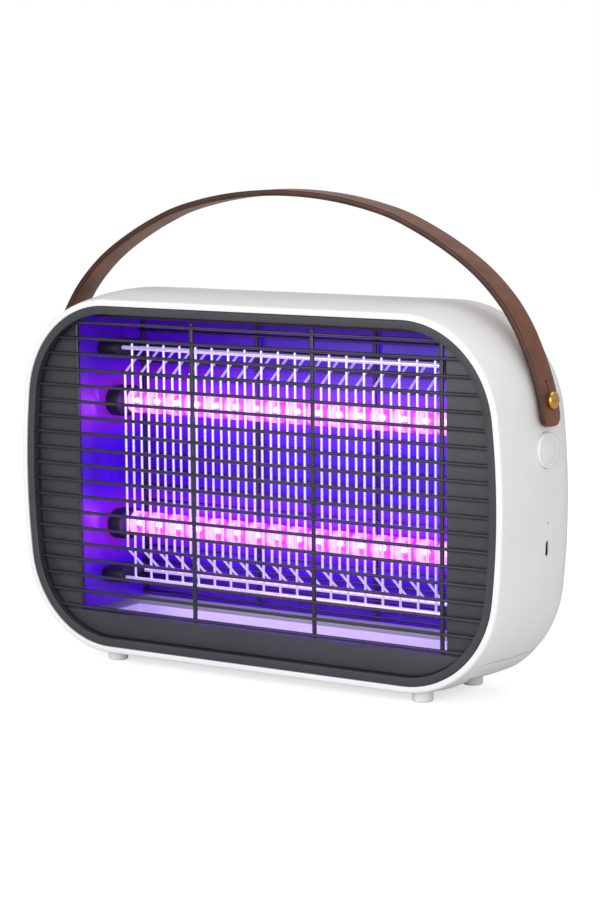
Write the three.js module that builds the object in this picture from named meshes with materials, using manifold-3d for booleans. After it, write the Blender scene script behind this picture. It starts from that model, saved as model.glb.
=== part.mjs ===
// Portable electric bug zapper: a crowned white housing with a dark guarded front, a high-voltage
// grid in front of two LED tubes, a catch tray that slides out of the right-hand end, and a
// leather strap on two brass studs.
//
// Millimetres, +Z up. The origin is on the ground, under the middle of the housing.
// -Y is the front, where the guard is. +X is the end with the button and the tray's door.

import * as THREE from 'three';
import { LoftGeometry } from 'three/addons/geometries/LoftGeometry.js';
import { mergeVertices } from 'three/addons/utils/BufferGeometryUtils.js';
import Module from 'manifold-3d';

const wasm = await Module();
wasm.setup();

// ---------------------------------------------------------------- driving dimensions

const GAP = 0.3;                  // clearance between pieces that meet
const DEPTH = 94;                 // housing, front to back
const FRONT_Y = -DEPTH / 2;
const REAR_Y = DEPTH / 2;

// Outline of the bezel's ring, seen from the front. The housing is this outline, offset.
const RING_HALF_WIDTH = 179.5;
const RING_TOP = 232.8;
const RING_BOTTOM = 11.2;
const CORNER_RADIUS = 64;
const CORNER_X = 112.7;           // centres of the corner arcs
const MID_Z = (RING_TOP + RING_BOTTOM) / 2;
const CORNER_RISE = (RING_TOP - RING_BOTTOM) / 2 - CORNER_RADIUS;

const RIM_BAND = 3.8;             // white rim round the ring
const CROWN = 5.2;                // how far the housing swells between its front and back edges
const BOTTOM_CROWN = 0.6;         // the part of the crown that the bottom has
const BACK_ROUND = 28;            // radius of the soft back edge
const WALL = 3;
const BOSS_RADIUS = 4;
const SCREW_HOLE = 1.6;           // radii of the rear cover's screws and their holes
const SCREW_SHANK = 1.3;
const SCREW_HEAD = 3;
const HEAD_POCKET = 3.4;
const LIP_Y = -36;                // the housing's thick front lip ends here
const BACK_WALL_Y = 41.5;         // inner face of the back wall

const RING_WIDTH = 5.5;
const RING_FRONT = -46.5;
const PANEL_FRONT = -40.8;
const BEZEL_BACK = -36.3;
const LOWER_PANEL_TOP = 32.5;
const LOWER_PANEL_FRONT = -42;
const WINDOW_HALF = 141.6;

const GUARD_WIRES = 19;
const GUARD_PITCH = 10.35;
const GUARD_TOP = 221.3;
const GUARD_WIRE = 2.2;
const GUARD_Y = -43;
const GUARD_SUPPORTS = [-139, -46, 46, 139];
const REAR_GUARD_Y = 26.5;

const PARTITION_X = 142;
const PARTITION_THICK = 2.5;
const CHAMBER_FRONT = -35.2;
const CHAMBER_BACK = 31;
const CHAMBER_FLOOR = 31;
const CHAMBER_TOP = 224;

const GRID_WIRES = 19;
const GRID_HALF = 116.5;
const GRID_Y = -13;
const GRID_WIRE = 1.6;
const GRID_BAR = 2.6;
const GRID_BAR_HALF = 124.4;
const GRID_BAR_HEIGHTS = [50.8, 203];
const BENT_SHIFT = -6.2;          // bent wires stand this far beside the straight ones
const BENT_BACK_Y = 7;
const BENT_BAR_HEIGHTS = [53, 201];
const BENT_KNEES = [70, 186.4];

const TUBE_Y = 7;
const TUBE_HEIGHTS = { lower: 84, upper: 166 };
const TUBE_RADIUS = 8;
const TUBE_BORE = 6.5;
const TUBE_HALF = 131;
const LED_COUNT = 17;
const LED_PITCH = 16.1;

const SIDE_Y = -1.5;              // line of the strap's studs, the button, the light and the socket
const STUD_Z = 185;
const STRAP_WIDTH = 20;
const STRAP_THICK = 3.8;
const STRAP_REACH = 200;          // past the strap, for cutters along X
const STUD_BORE = 2.3;            // radius of the hole in the spacer and the nut
const STUD_HOLE = 2.4;            // radius of the hole in the wall and the strap
const SPACER_RADIUS = 4.4;
const SPACER_CLEARANCE = 0.7;     // between the spacer and the strap
const BUTTON_Z = 154.8;
const BUTTON_RADIUS = 10.8;
const LIGHT_Z = 111;
const LIGHT_HOLE = 0.9;
const END_WALL = [176, 195];      // cutters through the right-hand wall reach this far along X
const SOCKET_Z = 95.8;
const BOARD_X = 174;

const TRAY_LEFT = -141;
const TRAY_RIGHT = 150.5;
const TRAY_HALF_WIDTH = 21;
const TRAY_BOTTOM = 18.4;
const TRAY_TOP = 26.8;
const TRAY_WALL = 1.6;
const DOOR_BOTTOM = 18;
const DOOR_TOP = 28;
const DOOR_HALF_WIDTH = 33.5;
// Cylinder that dishes the housing under the door, for a fingertip.
const SCOOP = { x: 153.7, z: -23.3, radius: 40.5, halfWidth: 31 };

const FOOT_X = 118;
const FOOT_ROWS = { front: -31, rear: 27 };
const FOOT_RADIUS = 6.5;
const FOOT_HEIGHT = 16;             // before it is trimmed to the housing

// ---------------------------------------------------------------- materials

function finish(color, roughness, metalness = 0) {
  return new THREE.MeshStandardMaterial({ color, roughness, metalness });
}

const WHITE_ABS = () => finish('#f1f1f0', 0.35);
const DARK_ABS = () => finish('#4b4c50', 0.5);
const BLACK_NYLON = () => finish('#1b1b1e', 0.6);
const VIOLET_PANEL = () => finish('#4a1fa8', 0.4);
const STEEL = () => finish('#c9c9cf', 0.3, 1);
const CLEAR_TUBE = () => finish('#e9d8ff', 0.1);
const CIRCUIT_BOARD = () => finish('#20603a', 0.6);
const LED_STRIP = () => finish('#dcc4ff', 0.4);
const BRASS = () => finish('#e0b060', 0.25, 1);
const LEATHER = () => finish('#6b4630', 0.6);
const CELL_WRAP = () => finish('#2d6fb0', 0.4);
const RUBBER = () => finish('#f0f0ee', 0.7);

// ---------------------------------------------------------------- solids

// A closed geometry as a solid: only positions are kept, and shared corners are merged.
function solid(geometry) {
  const bare = new THREE.BufferGeometry();
  bare.setAttribute('position', geometry.getAttribute('position').clone());
  if (geometry.index) bare.setIndex(geometry.index.clone());
  const merged = mergeVertices(bare, 1e-4);
  const source = merged.index.array;
  const kept = [];
  for (let i = 0; i < source.length; i += 3) {
    const [a, b, c] = [source[i], source[i + 1], source[i + 2]];
    if (a !== b && b !== c && c !== a) kept.push(a, b, c);
  }
  return new wasm.Manifold(new wasm.Mesh({
    numProp: 3,
    vertProperties: new Float32Array(merged.getAttribute('position').array),
    triVerts: new Uint32Array(kept),
  }));
}

function join(solids) {
  return solids.reduce((sum, next) => sum.add(next));
}

function cutAll(body, cutters) {
  return cutters.reduce((left, cutter) => left.subtract(cutter), body);
}

const root = new THREE.Group();

// Adds a solid to the model as a named mesh.
function piece(name, body, material) {
  const result = body.getMesh();
  const geometry = new THREE.BufferGeometry();
  geometry.setAttribute('position', new THREE.BufferAttribute(result.vertProperties, 3));
  geometry.setIndex(new THREE.BufferAttribute(result.triVerts, 1));
  geometry.computeVertexNormals();
  const mesh = new THREE.Mesh(geometry, material);
  mesh.name = name;
  root.add(mesh);
}

function block(x0, x1, y0, y1, z0, z1) {
  const geometry = new THREE.BoxGeometry(x1 - x0, y1 - y0, z1 - z0);
  geometry.translate((x0 + x1) / 2, (y0 + y1) / 2, (z0 + z1) / 2);
  return solid(geometry);
}

// A round bar along X.
function barX(x0, x1, y, z, radius, sides = 24) {
  const geometry = new THREE.CylinderGeometry(radius, radius, x1 - x0, sides);
  geometry.rotateZ(Math.PI / 2);
  geometry.translate((x0 + x1) / 2, y, z);
  return solid(geometry);
}

// A round bar along Y.
function barY(y0, y1, x, z, radius, sides = 20) {
  const geometry = new THREE.CylinderGeometry(radius, radius, y1 - y0, sides);
  geometry.translate(x, (y0 + y1) / 2, z);
  return solid(geometry);
}

// A turned part along X. The profile is a list of [distance along X, radius].
function turnedX(profile, y, z, side = 1, sides = 24) {
  const points = profile.map(([along, radius]) => new THREE.Vector2(radius, along));
  const geometry = new THREE.LatheGeometry(points, sides);
  geometry.rotateZ(-Math.PI / 2);
  if (side < 0) geometry.rotateY(Math.PI);
  geometry.translate(0, y, z);
  return solid(geometry);
}

// A prism along Y from an outline in the XZ plane.
function prismY(points, y0, y1) {
  const shape = new THREE.Shape(points.map(([x, z]) => new THREE.Vector2(x, z)));
  const geometry = new THREE.ExtrudeGeometry(shape, { depth: y1 - y0, bevelEnabled: false });
  geometry.rotateX(Math.PI / 2);
  geometry.translate(0, y1, 0);
  return solid(geometry);
}

// A prism along X from an outline in the YZ plane.
function prismX(points, x0, x1) {
  const shape = new THREE.Shape(points.map(([y, z]) => new THREE.Vector2(y, z)));
  const geometry = new THREE.ExtrudeGeometry(shape, { depth: x1 - x0, bevelEnabled: false });
  geometry.rotateX(Math.PI / 2);
  geometry.rotateZ(Math.PI / 2);
  geometry.translate(x0, 0, 0);
  return solid(geometry);
}

// A slot outline (a bar with round ends) centred on [a, b], long along the first axis.
function slotOutline(a, b, halfLength, radius, steps = 8) {
  const points = [];
  for (const [side, start] of [[1, -Math.PI / 2], [-1, Math.PI / 2]]) {
    for (let i = 0; i <= steps; i += 1) {
      const angle = start + Math.PI * i / steps;
      const centre = a + side * (halfLength - radius);
      points.push([centre + radius * Math.cos(angle), b + radius * Math.sin(angle)]);
    }
  }
  return points;
}

function uprightSlot(y, z, halfLength, radius) {
  return slotOutline(z, y, halfLength, radius).map(([along, across]) => [across, along]);
}

// ---------------------------------------------------------------- housing outline

// The ends bulge: one flat arc is tangent to both corner arcs of its end.
const END_REACH = RING_HALF_WIDTH - CORNER_X;
const END_RADIUS = (END_REACH ** 2 + CORNER_RISE ** 2 - CORNER_RADIUS ** 2)
  / (2 * (END_REACH - CORNER_RADIUS));
const END_CENTRE = RING_HALF_WIDTH - END_RADIUS;
const END_ANGLE = Math.atan2(CORNER_RISE, CORNER_X - END_CENTRE);
const CORNER_STEPS = 11;
const END_STEPS = 5;

// Points of the outline with their outward normals, one turn from the right-hand end.
function outlineArcs() {
  const right = Math.PI * 2;
  const quarter = Math.PI / 2;
  const high = MID_Z + CORNER_RISE;
  const low = MID_Z - CORNER_RISE;
  return [
    [END_CENTRE, MID_Z, END_RADIUS, -END_ANGLE, END_ANGLE, END_STEPS],
    [CORNER_X, high, CORNER_RADIUS, END_ANGLE, quarter, CORNER_STEPS],
    [-CORNER_X, high, CORNER_RADIUS, quarter, 2 * quarter - END_ANGLE, CORNER_STEPS],
    [-END_CENTRE, MID_Z, END_RADIUS, 2 * quarter - END_ANGLE, 2 * quarter + END_ANGLE, END_STEPS],
    [-CORNER_X, low, CORNER_RADIUS, 2 * quarter + END_ANGLE, 3 * quarter, CORNER_STEPS],
    [CORNER_X, low, CORNER_RADIUS, 3 * quarter, right - END_ANGLE, CORNER_STEPS],
  ];
}

const OUTLINE = outlineArcs().flatMap(([cx, cz, radius, from, to, steps]) => {
  const points = [];
  // The tangent joins between arcs are shared, so each arc leaves out its last point,
  // except where a straight stretch follows it.
  const straightFollows = Math.abs(Math.cos(to)) < 1e-6;
  const last = straightFollows ? steps : steps - 1;
  for (let i = 0; i <= last; i += 1) {
    const angle = from + (to - from) * i / steps;
    const normal = { x: Math.cos(angle), z: Math.sin(angle) };
    points.push({ x: cx + radius * normal.x, z: cz + radius * normal.z, normal });
  }
  return points;
});

// The outline moved outwards by an offset; the crown is extra, and is lower at the bottom.
function outline(offset, crown = 0) {
  return OUTLINE.map(({ x, z, normal }) => {
    const lift = normal.z < 0 ? BOTTOM_CROWN : 1;
    return [x + (offset + crown) * normal.x, z + (offset + crown * lift) * normal.z];
  });
}

function crownAt(y) {
  return CROWN * (1 - (y / REAR_Y) ** 2);
}

function backRoundAt(y) {
  const past = Math.max(0, y - (REAR_Y - BACK_ROUND));
  return BACK_ROUND - Math.sqrt(BACK_ROUND ** 2 - past ** 2);
}

// The housing's form as a solid, grown by an offset, between two places along Y.
function housingForm(offset, stations) {
  const sections = stations.map((y) => {
    const reach = Math.min(y, REAR_Y);
    const shrink = backRoundAt(Math.min(reach, REAR_Y - 0.01));
    return outline(RIM_BAND + offset - shrink, crownAt(reach))
      .reverse().map(([x, z]) => new THREE.Vector3(x, y, z));
  });
  return solid(new LoftGeometry(sections, { capStart: true, capEnd: true }));
}

const OUTER_STATIONS = [FRONT_Y, -36, -22, -6, 9, 19, 28, 35, 41, 45, REAR_Y];
const INNER_STATIONS = [LIP_Y, -22, 0, 19, 28, 36, BACK_WALL_Y];

const outerForm = housingForm(0, OUTER_STATIONS);
const clearForm = housingForm(GAP, OUTER_STATIONS);
const innerSpace = housingForm(-WALL - GAP, INNER_STATIONS);

// ---------------------------------------------------------------- housing

const COVER_OFFSET = -28.6;
const COVER_SEAT = 44;
const COVER_LEDGE = 10;
const SCREW_TOP = RING_TOP + COVER_OFFSET - COVER_LEDGE / 2;
const SCREW_BOTTOM = RING_BOTTOM - COVER_OFFSET + COVER_LEDGE / 2;
const COVER_SCREWS = [[-100, SCREW_TOP], [100, SCREW_TOP], [-100, SCREW_BOTTOM], [100, SCREW_BOTTOM]];

// Cutters for the studs' holes at both ends, from a distance along X outwards.
function strapHoles(from) {
  return [[-STRAP_REACH, -from], [from, STRAP_REACH]].map(([x0, x1]) => barX(x0, x1, SIDE_Y, STUD_Z,
    STUD_HOLE, 12));
}

function housingShell() {
  const cavity = housingForm(-WALL, INNER_STATIONS);
  const frontOpening = prismY(outline(0), FRONT_Y - 1, LIP_Y + 0.5);
  const coverSeat = prismY(outline(COVER_OFFSET + GAP), COVER_SEAT, REAR_Y + 1);
  const coverOpening = prismY(outline(COVER_OFFSET - COVER_LEDGE), BACK_WALL_Y - 1, COVER_SEAT + 1);
  const trayOpening = block(140, 190, -DOOR_HALF_WIDTH - GAP, DOOR_HALF_WIDTH + GAP,
    DOOR_BOTTOM - GAP, DOOR_TOP + GAP);
  const scoopBacking = block(129, 165, -34, 34, 5, DOOR_BOTTOM - GAP).intersect(outerForm);
  const scoop = barY(-SCOOP.halfWidth, SCOOP.halfWidth, SCOOP.x, SCOOP.z, SCOOP.radius, 96);
  const bosses = COVER_SCREWS.map(([x, z]) => barY(34, COVER_SEAT - 1, x, z, BOSS_RADIUS, 16));
  const screwHoles = COVER_SCREWS.map(([x, z]) => barY(33, REAR_Y, x, z, SCREW_HOLE, 12));
  const buttonHole = barX(...END_WALL, SIDE_Y, BUTTON_Z, BUTTON_RADIUS + GAP, 32);
  const lightHole = barX(...END_WALL, SIDE_Y, LIGHT_Z, LIGHT_HOLE, 10);
  const socketHole = prismX(uprightSlot(SIDE_Y, SOCKET_Z, 4.8, 1.9), ...END_WALL);
  const studHoles = strapHoles(170);
  let body = cutAll(outerForm, [cavity, frontOpening, coverSeat, coverOpening]);
  body = join([body, ...bosses, scoopBacking]);
  return cutAll(body, [trayOpening, scoop, buttonHole, lightHole, socketHole,
    ...screwHoles, ...studHoles]);
}

function rearCover() {
  const plate = prismY(outline(COVER_OFFSET), COVER_SEAT + GAP, REAR_Y - 0.2);
  const heads = COVER_SCREWS.map(([x, z]) => barY(45.2, REAR_Y + 1, x, z, HEAD_POCKET, 16));
  const shanks = COVER_SCREWS.map(([x, z]) => barY(43, REAR_Y + 1, x, z, SCREW_HOLE, 12));
  return cutAll(plate, [...heads, ...shanks]);
}

function coverScrew([x, z]) {
  return barY(36, 45.6, x, z, SCREW_SHANK, 12).add(barY(45.5, 46.7, x, z, SCREW_HEAD, 16));
}

// ---------------------------------------------------------------- front

function frontBezel() {
  const ring = prismY(outline(-GAP), RING_FRONT, BEZEL_BACK);
  const inner = outline(-RING_WIDTH);
  const recess = prismY(inner, FRONT_Y - 1, PANEL_FRONT);
  const throat = prismY(inner, FRONT_Y - 1, LIP_Y);
  const window = throat.intersect(
    block(-WINDOW_HALF, WINDOW_HALF, FRONT_Y, 0, LOWER_PANEL_TOP, RING_TOP));
  const lowerPanel = throat.intersect(
    block(-200, 200, LOWER_PANEL_FRONT, BEZEL_BACK, 0, LOWER_PANEL_TOP));
  return cutAll(ring, [recess, window]).add(lowerPanel);
}

// Horizontal wires with upright supports behind them, as one welded guard.
function guardWires(y, halfWidth, supportBottom) {
  const half = GUARD_WIRE / 2;
  const solids = [];
  for (let i = 0; i < GUARD_WIRES; i += 1) {
    const z = GUARD_TOP - i * GUARD_PITCH;
    solids.push(block(-halfWidth, halfWidth, y - half, y + half, z - half, z + half));
  }
  for (const x of GUARD_SUPPORTS) {
    solids.push(block(x - 1.3, x + 1.3, y + 0.3, y + half + 0.9, supportBottom, CHAMBER_TOP));
  }
  return join(solids);
}

function frontGuard() {
  const reach = prismY(outline(-RING_WIDTH - GAP), FRONT_Y, 0);
  return guardWires(GUARD_Y, RING_HALF_WIDTH, LOWER_PANEL_TOP + GAP).intersect(reach);
}

function rearGuard() {
  return guardWires(REAR_GUARD_Y, PARTITION_X - GAP, 32.8);
}

// ---------------------------------------------------------------- chamber

function reflectorPanel() {
  return block(-PARTITION_X + GAP, PARTITION_X - GAP, CHAMBER_BACK, CHAMBER_BACK + 1.5,
    CHAMBER_FLOOR, CHAMBER_TOP);
}

// End wall of the chamber, with a hole that the tube's lead passes through.
function partition(side) {
  const x0 = side < 0 ? -PARTITION_X - PARTITION_THICK : PARTITION_X;
  const plate = block(x0, x0 + PARTITION_THICK, CHAMBER_FRONT, CHAMBER_BACK + 1.5,
    CHAMBER_FLOOR, CHAMBER_TOP).intersect(innerSpace);
  const holes = Object.values(TUBE_HEIGHTS).map((z) => barX(x0 - 1, x0 + PARTITION_THICK + 1,
    TUBE_Y, z, 3, 12));
  return cutAll(plate, holes);
}

function chamberCeiling() {
  return block(-PARTITION_X - PARTITION_THICK, PARTITION_X + PARTITION_THICK,
    CHAMBER_FRONT, CHAMBER_BACK + 1.5, CHAMBER_TOP + GAP, CHAMBER_TOP + 2.3).intersect(innerSpace);
}

function gridX(index) {
  return -GRID_HALF + 2 * GRID_HALF * index / (GRID_WIRES - 1);
}

function crossBar(y, z) {
  const half = GRID_BAR / 2;
  return block(-GRID_BAR_HALF, GRID_BAR_HALF, y - half, y + half, z - half, z + half);
}

function straightGrid() {
  const half = GRID_WIRE / 2;
  const [low, high] = GRID_BAR_HEIGHTS;
  const solids = GRID_BAR_HEIGHTS.map((z) => crossBar(GRID_Y, z));
  for (let i = 0; i < GRID_WIRES; i += 1) {
    const x = gridX(i);
    solids.push(block(x - half, x + half, GRID_Y - half, GRID_Y + half, low - 3, high + 3));
  }
  return join(solids);
}

// Each bent wire runs level with the straight ones and leans back to its own bars.
function bentGrid() {
  const half = GRID_WIRE / 2;
  const [kneeLow, kneeHigh] = BENT_KNEES;
  const [barLow, barHigh] = BENT_BAR_HEIGHTS;
  const slant = half * 0.5;
  const profile = [
    [BENT_BACK_Y - half, barLow - half], [BENT_BACK_Y + half, barLow + half],
    [GRID_Y + half, kneeLow + slant], [GRID_Y + half, kneeHigh - slant],
    [BENT_BACK_Y + half, barHigh - half], [BENT_BACK_Y - half, barHigh + half],
    [GRID_Y - half, kneeHigh + slant], [GRID_Y - half, kneeLow - slant],
  ];
  const solids = BENT_BAR_HEIGHTS.map((z) => crossBar(BENT_BACK_Y, z));
  for (let i = 0; i < GRID_WIRES; i += 1) {
    const x = gridX(i) + BENT_SHIFT;
    solids.push(prismX(profile, x - half, x + half));
  }
  return join(solids);
}

// Bracket that carries both grids' bars at one corner of the chamber.
function gridInsulator(side, index) {
  const z = (GRID_BAR_HEIGHTS[index] + BENT_BAR_HEIGHTS[index]) / 2;
  const foot = GRID_BAR_HALF + 0.6;
  const wall = PARTITION_X - GAP;
  const x = side < 0 ? [-wall, -foot] : [foot, wall];
  return prismX(slotOutline((GRID_Y + BENT_BACK_Y) / 2, z, 15, 5), ...x);
}

function ledTube(z) {
  const profile = [[-TUBE_HALF, TUBE_BORE], [-TUBE_HALF, TUBE_RADIUS], [TUBE_HALF, TUBE_RADIUS],
    [TUBE_HALF, TUBE_BORE], [-TUBE_HALF, TUBE_BORE]];
  return turnedX(profile, TUBE_Y, z, 1, 16);
}

function ledBoard(z) {
  const solids = [block(-TUBE_HALF, TUBE_HALF, TUBE_Y + 1.2, TUBE_Y + 2.4, z - 4.6, z + 4.6)];
  for (let i = 0; i < LED_COUNT; i += 1) {
    const x = (i - (LED_COUNT - 1) / 2) * LED_PITCH;
    solids.push(block(x - 1.75, x + 1.75, TUBE_Y - 0.6, TUBE_Y + 1.4, z - 1.4, z + 1.4));
  }
  return join(solids);
}

function tubeSocket(side, z) {
  const x = [TUBE_HALF + GAP, PARTITION_X - GAP];
  const [x0, x1] = side < 0 ? [-x[1], -x[0]] : x;
  return prismX(slotOutline(TUBE_Y - 4, z, 14, 10), x0, x1);
}

// ---------------------------------------------------------------- end compartments

function mainBoard() {
  return block(BOARD_X, BOARD_X + 1.6, -30, 26, 84, 168);
}

function pushSwitch() {
  const front = BOARD_X + 1.9;
  return block(front, front + 2.6, SIDE_Y - 3, SIDE_Y + 3, BUTTON_Z - 3, BUTTON_Z + 3)
    .add(barX(front + 2.5, front + 3.3, SIDE_Y, BUTTON_Z, 1.6, 12));
}

function chargingSocket() {
  const front = BOARD_X + 1.9;
  const mouth = 187;
  const shell = prismX(uprightSlot(SIDE_Y, SOCKET_Z, 4.5, 1.6), front, mouth);
  const throat = prismX(uprightSlot(SIDE_Y, SOCKET_Z, 4.2, 1.3), front + 4, mouth + 1);
  const tongue = block(front + 3, mouth - 0.8, SIDE_Y - 0.35, SIDE_Y + 0.35,
    SOCKET_Z - 3, SOCKET_Z + 3);
  return shell.subtract(throat).add(tongue);
}

function lightPipe() {
  return barX(BOARD_X + 1.9, 187.6, SIDE_Y, LIGHT_Z, 0.6, 10);
}

function powerButton() {
  const profile = [[180.9, 0], [180.9, BUTTON_RADIUS + 1.6], [182.2, BUTTON_RADIUS + 1.6],
    [182.2, BUTTON_RADIUS], [188.2, BUTTON_RADIUS], [188.8, BUTTON_RADIUS - 0.6], [189, 0]];
  return turnedX(profile, SIDE_Y, BUTTON_Z, 1, 32);
}

function voltageModule() {
  return block(-168, -147, -26, 18, 158, 200);
}

function batteryCell(y) {
  const geometry = new THREE.CylinderGeometry(9.2, 9.2, 65, 20);
  geometry.rotateX(Math.PI / 2);
  geometry.translate(-160, y, 112);
  return solid(geometry);
}

function batteryHolder() {
  const channel = [[-170, 76], [-148, 76], [-148, 148], [-170, 148], [-170, 145], [-150.3, 145],
    [-150.3, 79], [-170, 79]];
  return prismY(channel, -24, 20);
}

// ---------------------------------------------------------------- tray

function catchTray() {
  const outer = block(TRAY_LEFT, TRAY_RIGHT, -TRAY_HALF_WIDTH, TRAY_HALF_WIDTH,
    TRAY_BOTTOM, TRAY_TOP);
  const inside = block(TRAY_LEFT + TRAY_WALL, TRAY_RIGHT - TRAY_WALL, -TRAY_HALF_WIDTH + TRAY_WALL,
    TRAY_HALF_WIDTH - TRAY_WALL, TRAY_BOTTOM + TRAY_WALL, TRAY_TOP + 1);
  return outer.subtract(inside);
}

// The door continues the housing's surface, with a rib that carries the tray's end.
function trayDoor() {
  const inner = housingForm(-WALL, INNER_STATIONS);
  const window = block(TRAY_RIGHT + GAP, 190, -DOOR_HALF_WIDTH, DOOR_HALF_WIDTH,
    DOOR_BOTTOM, DOOR_TOP);
  const skin = outerForm.intersect(window).subtract(inner);
  const rib = block(TRAY_RIGHT + GAP, 160, -TRAY_HALF_WIDTH, TRAY_HALF_WIDTH,
    DOOR_BOTTOM, TRAY_TOP).intersect(outerForm);
  return skin.add(rib);
}

// Angle rail beside the tray, standing on the housing's floor.
function trayRunner(side) {
  const near = TRAY_HALF_WIDTH - 5;
  const wall = TRAY_HALF_WIDTH + 0.5;
  const far = TRAY_HALF_WIDTH + 4;
  const section = [[near, 14], [far, 14], [far, 24], [wall, 24], [wall, TRAY_BOTTOM - 0.4],
    [near, TRAY_BOTTOM - 0.4]].map(([y, z]) => [side * y, z]);
  if (side < 0) section.reverse();
  const rail = prismX(section, -128, 128);
  const legs = [-96, 0, 96].map((x) => {
    const [y0, y1] = side < 0 ? [-far, -near] : [near, far];
    return block(x - 6, x + 6, y0, y1, 8.4, 15);
  });
  return join([rail, ...legs]).intersect(innerSpace);
}

// ---------------------------------------------------------------- strap and feet

// One side of the strap's outer line, from the top of the arch to the end of the leg.
const STRAP_LINE = [[0, 307], [40, 304.2], [77, 296.4], [102, 286.6], [126, 273.8], [145, 260.6],
  [161.2, 244.8], [172.5, 228.8], [181.2, 210.8], [186.8, 195.6], [190.2, 181.8], [191.8, 169.5]];

function strapOutline(grown = 0) {
  const right = STRAP_LINE.map(([x, z]) => new THREE.Vector2(x, z));
  const left = right.slice(1).reverse().map((point) => new THREE.Vector2(-point.x, point.y));
  const curve = new THREE.SplineCurve([...left, ...right]);
  const steps = 56;
  const outer = [];
  const inner = [];
  for (let i = 0; i <= steps; i += 1) {
    const point = curve.getPointAt(i / steps);
    const tangent = curve.getTangentAt(i / steps);
    const inward = [tangent.y, -tangent.x];
    const depth = STRAP_THICK + grown;
    outer.push([point.x - inward[0] * grown, point.y - inward[1] * grown]);
    inner.push([point.x + inward[0] * depth, point.y + inward[1] * depth]);
  }
  return [...outer, ...inner.reverse()];
}

function carryStrap() {
  const half = STRAP_WIDTH / 2;
  return cutAll(prismY(strapOutline(), SIDE_Y - half, SIDE_Y + half), strapHoles(176));
}

// Brass stud through the strap and the wall: domed head outside, nut inside.
function strapStud(side) {
  const profile = [[178, 0], [178, 2], [191.3, 2], [191.3, 5.25], [192.4, 5.25], [193.6, 4.2],
    [194.1, 2.2], [194.2, 0]];
  const slot = block(side < 0 ? -196 : 193.2, side < 0 ? -193.2 : 196, SIDE_Y - 6, SIDE_Y + 6,
    STUD_Z - 0.6, STUD_Z + 0.6);
  return turnedX(profile, SIDE_Y, STUD_Z, side, 20).subtract(slot);
}

// Spacer that holds the strap clear of the housing. Its faces follow the wall and the strap, with
// room for the strap to tilt.
function studSpacer(side) {
  const x = side < 0 ? [-188, -178] : [178, 188];
  const strapSpace = prismY(strapOutline(SPACER_CLEARANCE), SIDE_Y - 12, SIDE_Y + 12);
  const bore = barX(x[0] - 1, x[1] + 1, SIDE_Y, STUD_Z, STUD_BORE, 12);
  return cutAll(barX(...x, SIDE_Y, STUD_Z, SPACER_RADIUS, 20), [bore, clearForm, strapSpace]);
}

function studNut(side) {
  const x = side < 0 ? [-180.3, -177.6] : [177.6, 180.3];
  const bore = barX(x[0] - 1, x[1] + 1, SIDE_Y, STUD_Z, STUD_BORE, 12);
  return barX(...x, SIDE_Y, STUD_Z, 4.4, 6).intersect(innerSpace).subtract(bore);
}

function foot(x, y) {
  const points = [[0, 0], [5.6, 0], [FOOT_RADIUS, 0.9], [FOOT_RADIUS, FOOT_HEIGHT], [0, FOOT_HEIGHT]]
    .map(([radius, z]) => new THREE.Vector2(radius, z));
  const geometry = new THREE.LatheGeometry(points, 24);
  geometry.rotateX(Math.PI / 2);
  geometry.translate(x, y, 0);
  return solid(geometry).subtract(clearForm);
}

// ---------------------------------------------------------------- assembly

piece('housing_shell', housingShell(), WHITE_ABS());
piece('rear_cover', rearCover(), WHITE_ABS());
COVER_SCREWS.forEach((place, i) => piece(`cover_screw_${i + 1}`, coverScrew(place), STEEL()));

piece('front_bezel', frontBezel(), DARK_ABS());
piece('front_guard', frontGuard(), DARK_ABS());
piece('rear_guard', rearGuard(), DARK_ABS());

piece('reflector_panel', reflectorPanel(), VIOLET_PANEL());
piece('left_partition', partition(-1), VIOLET_PANEL());
piece('right_partition', partition(1), VIOLET_PANEL());
piece('chamber_ceiling', chamberCeiling(), DARK_ABS());

piece('earth_grid', straightGrid(), STEEL());
piece('live_grid', bentGrid(), STEEL());
for (const [sideName, side] of [['left', -1], ['right', 1]]) {
  ['lower', 'upper'].forEach((level, index) => {
    piece(`grid_insulator_${level}_${sideName}`, gridInsulator(side, index), BLACK_NYLON());
    piece(`tube_socket_${level}_${sideName}`, tubeSocket(side, TUBE_HEIGHTS[level]), BLACK_NYLON());
  });
}
for (const [level, z] of Object.entries(TUBE_HEIGHTS)) {
  piece(`led_tube_${level}`, ledTube(z), CLEAR_TUBE());
  piece(`led_board_${level}`, ledBoard(z), LED_STRIP());
}

piece('main_board', mainBoard(), CIRCUIT_BOARD());
piece('push_switch', pushSwitch(), BLACK_NYLON());
piece('charging_socket', chargingSocket(), STEEL());
piece('light_pipe', lightPipe(), CLEAR_TUBE());
piece('power_button', powerButton(), WHITE_ABS());
piece('voltage_module', voltageModule(), BLACK_NYLON());
piece('battery_cell_front', batteryCell(-12), CELL_WRAP());
piece('battery_cell_rear', batteryCell(8), CELL_WRAP());
piece('battery_holder', batteryHolder(), BLACK_NYLON());

piece('catch_tray', catchTray(), WHITE_ABS());
piece('tray_door', trayDoor(), WHITE_ABS());
piece('tray_runner_front', trayRunner(-1), BLACK_NYLON());
piece('tray_runner_rear', trayRunner(1), BLACK_NYLON());

piece('carry_strap', carryStrap(), LEATHER());
for (const [sideName, side] of [['left', -1], ['right', 1]]) {
  piece(`strap_stud_${sideName}`, strapStud(side), BRASS());
  piece(`stud_spacer_${sideName}`, studSpacer(side), BRASS());
  piece(`stud_nut_${sideName}`, studNut(side), BRASS());
}
for (const [rowName, y] of Object.entries(FOOT_ROWS)) {
  for (const [sideName, x] of [['left', -FOOT_X], ['right', FOOT_X]]) {
    piece(`foot_${rowName}_${sideName}`, foot(x, y), RUBBER());
  }
}

export default root;
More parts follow.
